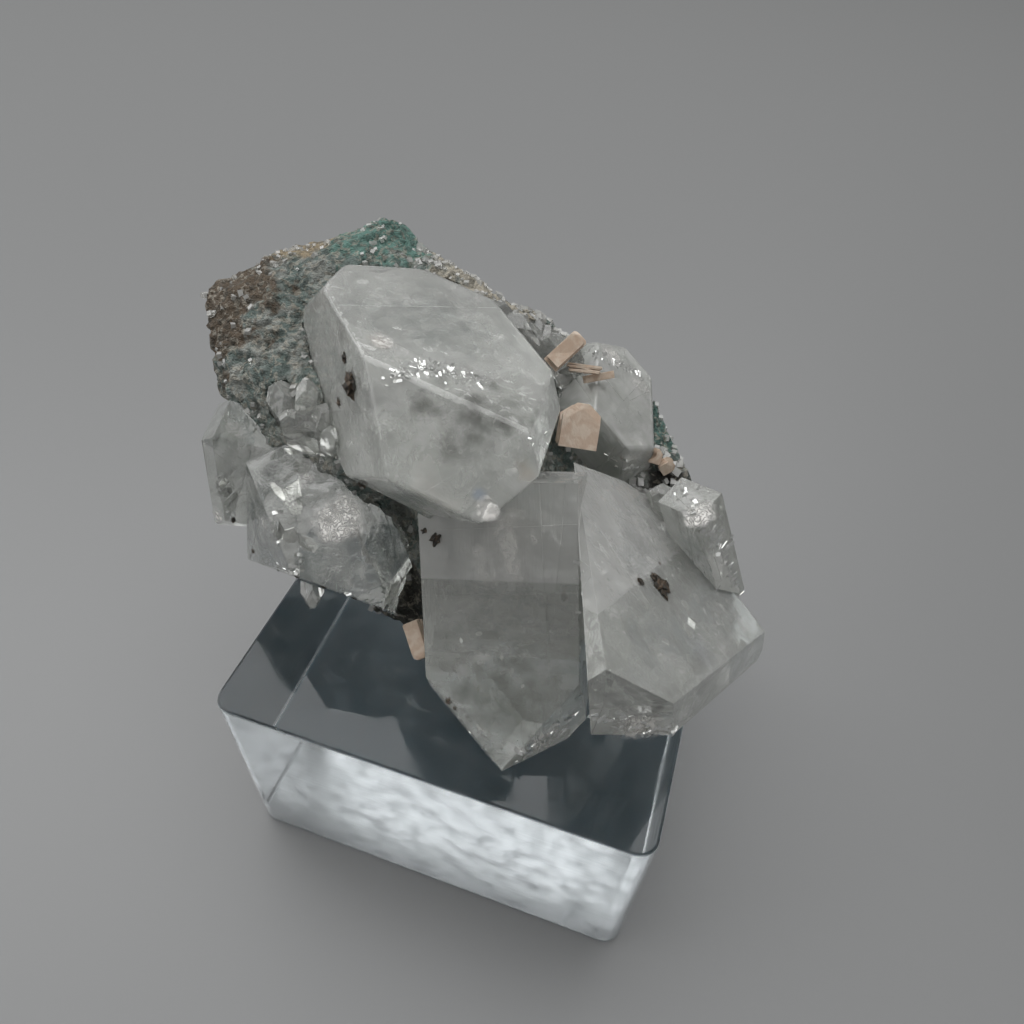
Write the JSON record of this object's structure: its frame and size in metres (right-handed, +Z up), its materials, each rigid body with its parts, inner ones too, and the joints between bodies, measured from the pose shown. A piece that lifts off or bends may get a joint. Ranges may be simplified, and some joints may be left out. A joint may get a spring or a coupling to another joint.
{
  "type": "apophyllite specimen on a clear block",
  "caption": "Cluster of glassy apophyllite crystals on green-grey matrix rock with peach stilbite, resting on a clear display block.",
  "frame": {"origin": "middle of the clear block's underside, on the surface that it stands on", "axes": "+Z up; +X to the right and +Y to the back along the block's sides, with the front crystals at -Y"},
  "size_m": [0.0871, 0.0644, 0.0793],
  "materials": {
    "clear_block": "clear acrylic, polished, with faint saw marks on its sides",
    "apophyllite": "clear to milky crystal, glassy faces with growth lines, pearly where it cleaves",
    "apophyllite_crust": "small milky crystals, glassy and sparkling",
    "stilbite": "peach, pearly, slightly translucent",
    "matrix_rock": "matt green-grey and brown rock with teal and pale patches"
  },
  "bodies": {
    "root": {"display_block": "clear_block", "main_crystal": "apophyllite", "front_crystals": "apophyllite", "left_crystals": "apophyllite", "back_right_crystal": "apophyllite", "side_crystal": "apophyllite", "pocket_crystal": "apophyllite", "seam_crystal": "apophyllite", "left_druse": "apophyllite_crust", "ridge_crust": "apophyllite_crust", "back_druse": "apophyllite_crust", "stilbite_chunk": "stilbite", "stilbite_blade": "stilbite", "stilbite_sliver_1": "stilbite", "stilbite_sliver_2": "stilbite", "stilbite_tooth": "stilbite", "stilbite_grain_1": "stilbite", "stilbite_grain_2": "stilbite", "matrix": "matrix_rock"}
  },
  "joints": []
}
